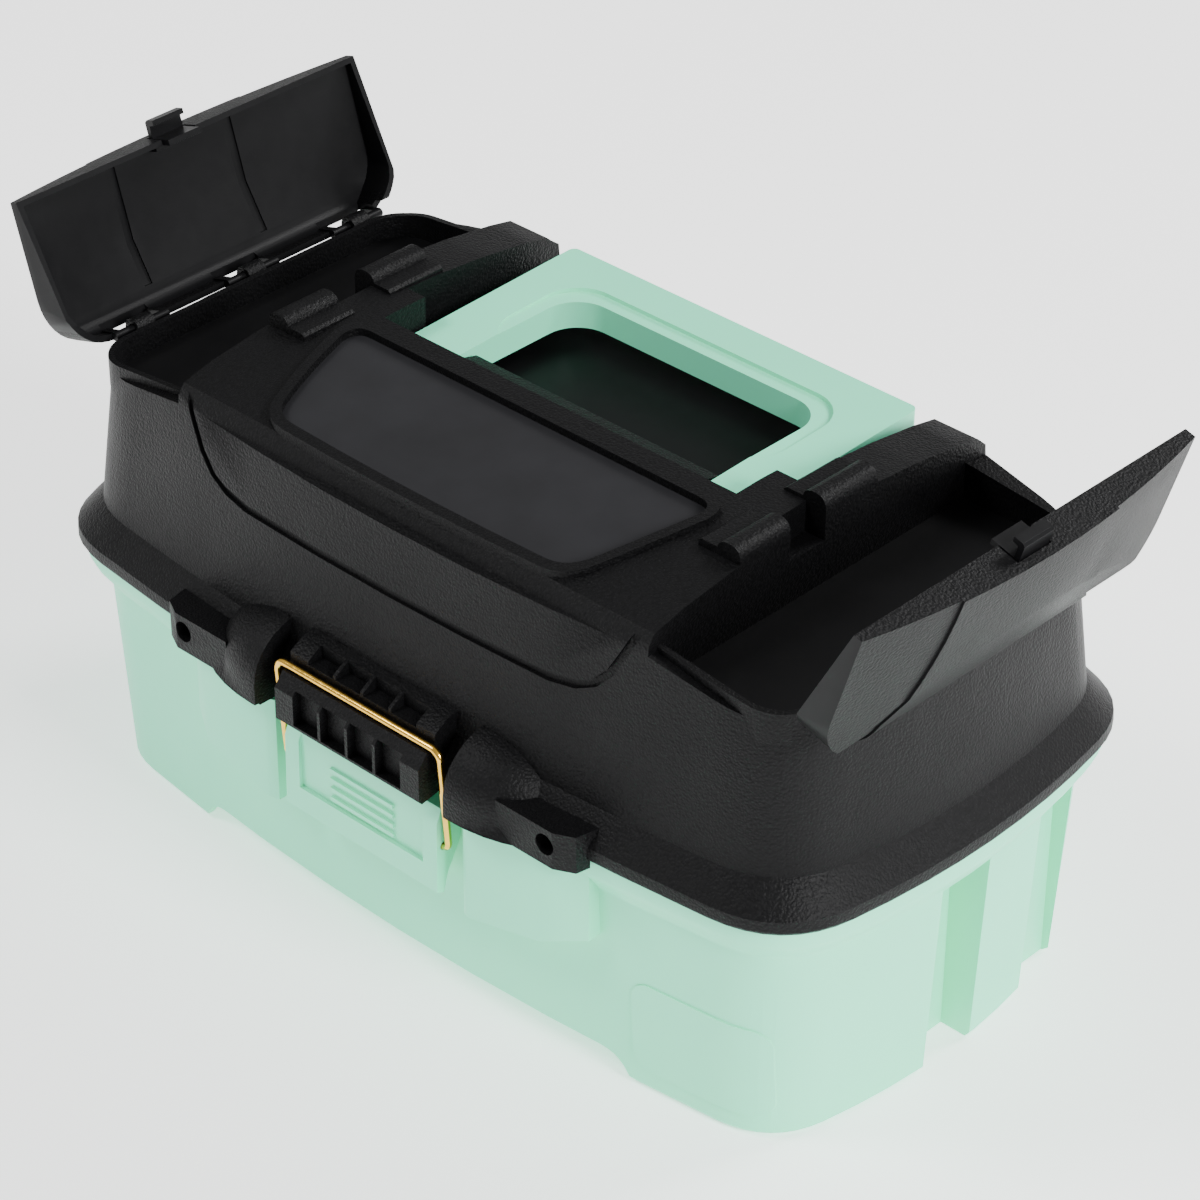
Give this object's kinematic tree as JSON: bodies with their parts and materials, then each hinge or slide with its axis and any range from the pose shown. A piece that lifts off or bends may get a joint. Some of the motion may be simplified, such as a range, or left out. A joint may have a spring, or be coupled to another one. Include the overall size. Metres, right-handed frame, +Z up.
{
  "type": "fishing tackle box",
  "caption": "Lidded tackle box with two lidded bins in the lid top, a folding handle, a wire draw latch and trays that rise on parallel arms.",
  "frame": {"origin": "on the surface the box stands on, under the middle of its plan", "axes": "+X along the box to its right-hand end, -Y to the front with the latch, +Z up"},
  "size_m": [0.4516, 0.2423, 0.2509],
  "materials": {
    "mint_plastic": "fine satin moulded",
    "black_plastic": "fine pebble grain",
    "satin_plastic": "smooth satin",
    "brass_wire": "polished",
    "steel_pin": "plain drawn"
  },
  "bodies": {
    "base": {"base_shell": "mint_plastic", "latch_pin": "steel_pin", "left_hinge_pin": "steel_pin", "right_hinge_pin": "steel_pin"},
    "lid": {"lid_shell": "black_plastic"},
    "left_cover": {"left_cover": "black_plastic", "left_cover_clip": "satin_plastic"},
    "right_cover": {"right_cover": "black_plastic", "right_cover_clip": "satin_plastic"},
    "handle": {"handle": "mint_plastic"},
    "latch_lever": {"latch_lever": "mint_plastic"},
    "wire_bail": {"wire_bail": "brass_wire"},
    "upper_tray": {"upper_tray": "mint_plastic", "upper_divider_1": "mint_plastic", "upper_divider_2": "mint_plastic"},
    "lower_tray": {"lower_tray": "mint_plastic", "lower_divider_1": "mint_plastic", "lower_divider_2": "mint_plastic"},
    "left_front_arm": {"left_front_arm": "black_plastic"},
    "left_rear_arm": {"left_rear_arm": "black_plastic"},
    "right_front_arm": {"right_front_arm": "black_plastic"},
    "right_rear_arm": {"right_rear_arm": "black_plastic"}
  },
  "joints": [
    {"name": "lid_hinge", "type": "hinge", "parent": "base", "child": "lid", "pos_m": [0, 0.1145, 0.107], "axis": [-1, 0, 0], "range_deg": [0, 95]},
    {"name": "left_cover_hinge", "type": "hinge", "parent": "lid", "child": "left_cover", "pos_m": [-0.186, 0, 0.187], "axis": [0, -1, 0], "range_deg": [-107, 0]},
    {"name": "right_cover_hinge", "type": "hinge", "parent": "lid", "child": "right_cover", "pos_m": [0.186, 0, 0.187], "axis": [0, 1, 0], "range_deg": [-107, 0]},
    {"name": "handle_hinge", "type": "hinge", "parent": "lid", "child": "handle", "pos_m": [0, -0.002, 0.1905], "axis": [1, 0, 0], "range_deg": [0, 95]},
    {"name": "latch_lever_hinge", "type": "hinge", "parent": "base", "child": "latch_lever", "pos_m": [0, -0.109, 0.094], "axis": [-1, 0, 0], "range_deg": [0, 75]},
    {"name": "bail_hinge", "type": "hinge", "parent": "latch_lever", "child": "wire_bail", "pos_m": [0, -0.114, 0.0805], "axis": [1, 0, 0], "range_deg": [0, 101.25]},
    {"name": "left_front_arm_hinge", "type": "hinge", "parent": "base", "child": "left_front_arm", "pos_m": [-0.171, 0.028, 0.096], "axis": [-1, 0, 0], "range_deg": [0, 95]},
    {"name": "left_rear_arm_hinge", "type": "hinge", "parent": "base", "child": "left_rear_arm", "pos_m": [-0.171, 0.068, 0.096], "axis": [-1, 0, 0], "range_deg": [0, 95]},
    {"name": "right_front_arm_hinge", "type": "hinge", "parent": "base", "child": "right_front_arm", "pos_m": [0.171, 0.028, 0.096], "axis": [-1, 0, 0], "range_deg": [0, 95]},
    {"name": "right_rear_arm_hinge", "type": "hinge", "parent": "base", "child": "right_rear_arm", "pos_m": [0.171, 0.068, 0.096], "axis": [-1, 0, 0], "range_deg": [0, 95]},
    {"name": "upper_tray_hinge", "type": "hinge", "parent": "left_front_arm", "child": "upper_tray", "pos_m": [-0.171, -0.06859, 0.12188], "axis": [-1, 0, 0], "range_deg": [-95, 0]},
    {"name": "lower_tray_hinge", "type": "hinge", "parent": "left_front_arm", "child": "lower_tray", "pos_m": [-0.171, -0.01257, 0.10687], "axis": [-1, 0, 0], "range_deg": [-95, 0]}
  ],
  "couplings": [
    {"joint": "bail_hinge", "follows": "latch_lever_hinge", "ratio": 1.35},
    {"joint": "left_front_arm_hinge", "follows": "lid_hinge", "ratio": 1},
    {"joint": "left_rear_arm_hinge", "follows": "lid_hinge", "ratio": 1},
    {"joint": "right_front_arm_hinge", "follows": "lid_hinge", "ratio": 1},
    {"joint": "right_rear_arm_hinge", "follows": "lid_hinge", "ratio": 1},
    {"joint": "upper_tray_hinge", "follows": "lid_hinge", "ratio": -1},
    {"joint": "lower_tray_hinge", "follows": "lid_hinge", "ratio": -1}
  ]
}
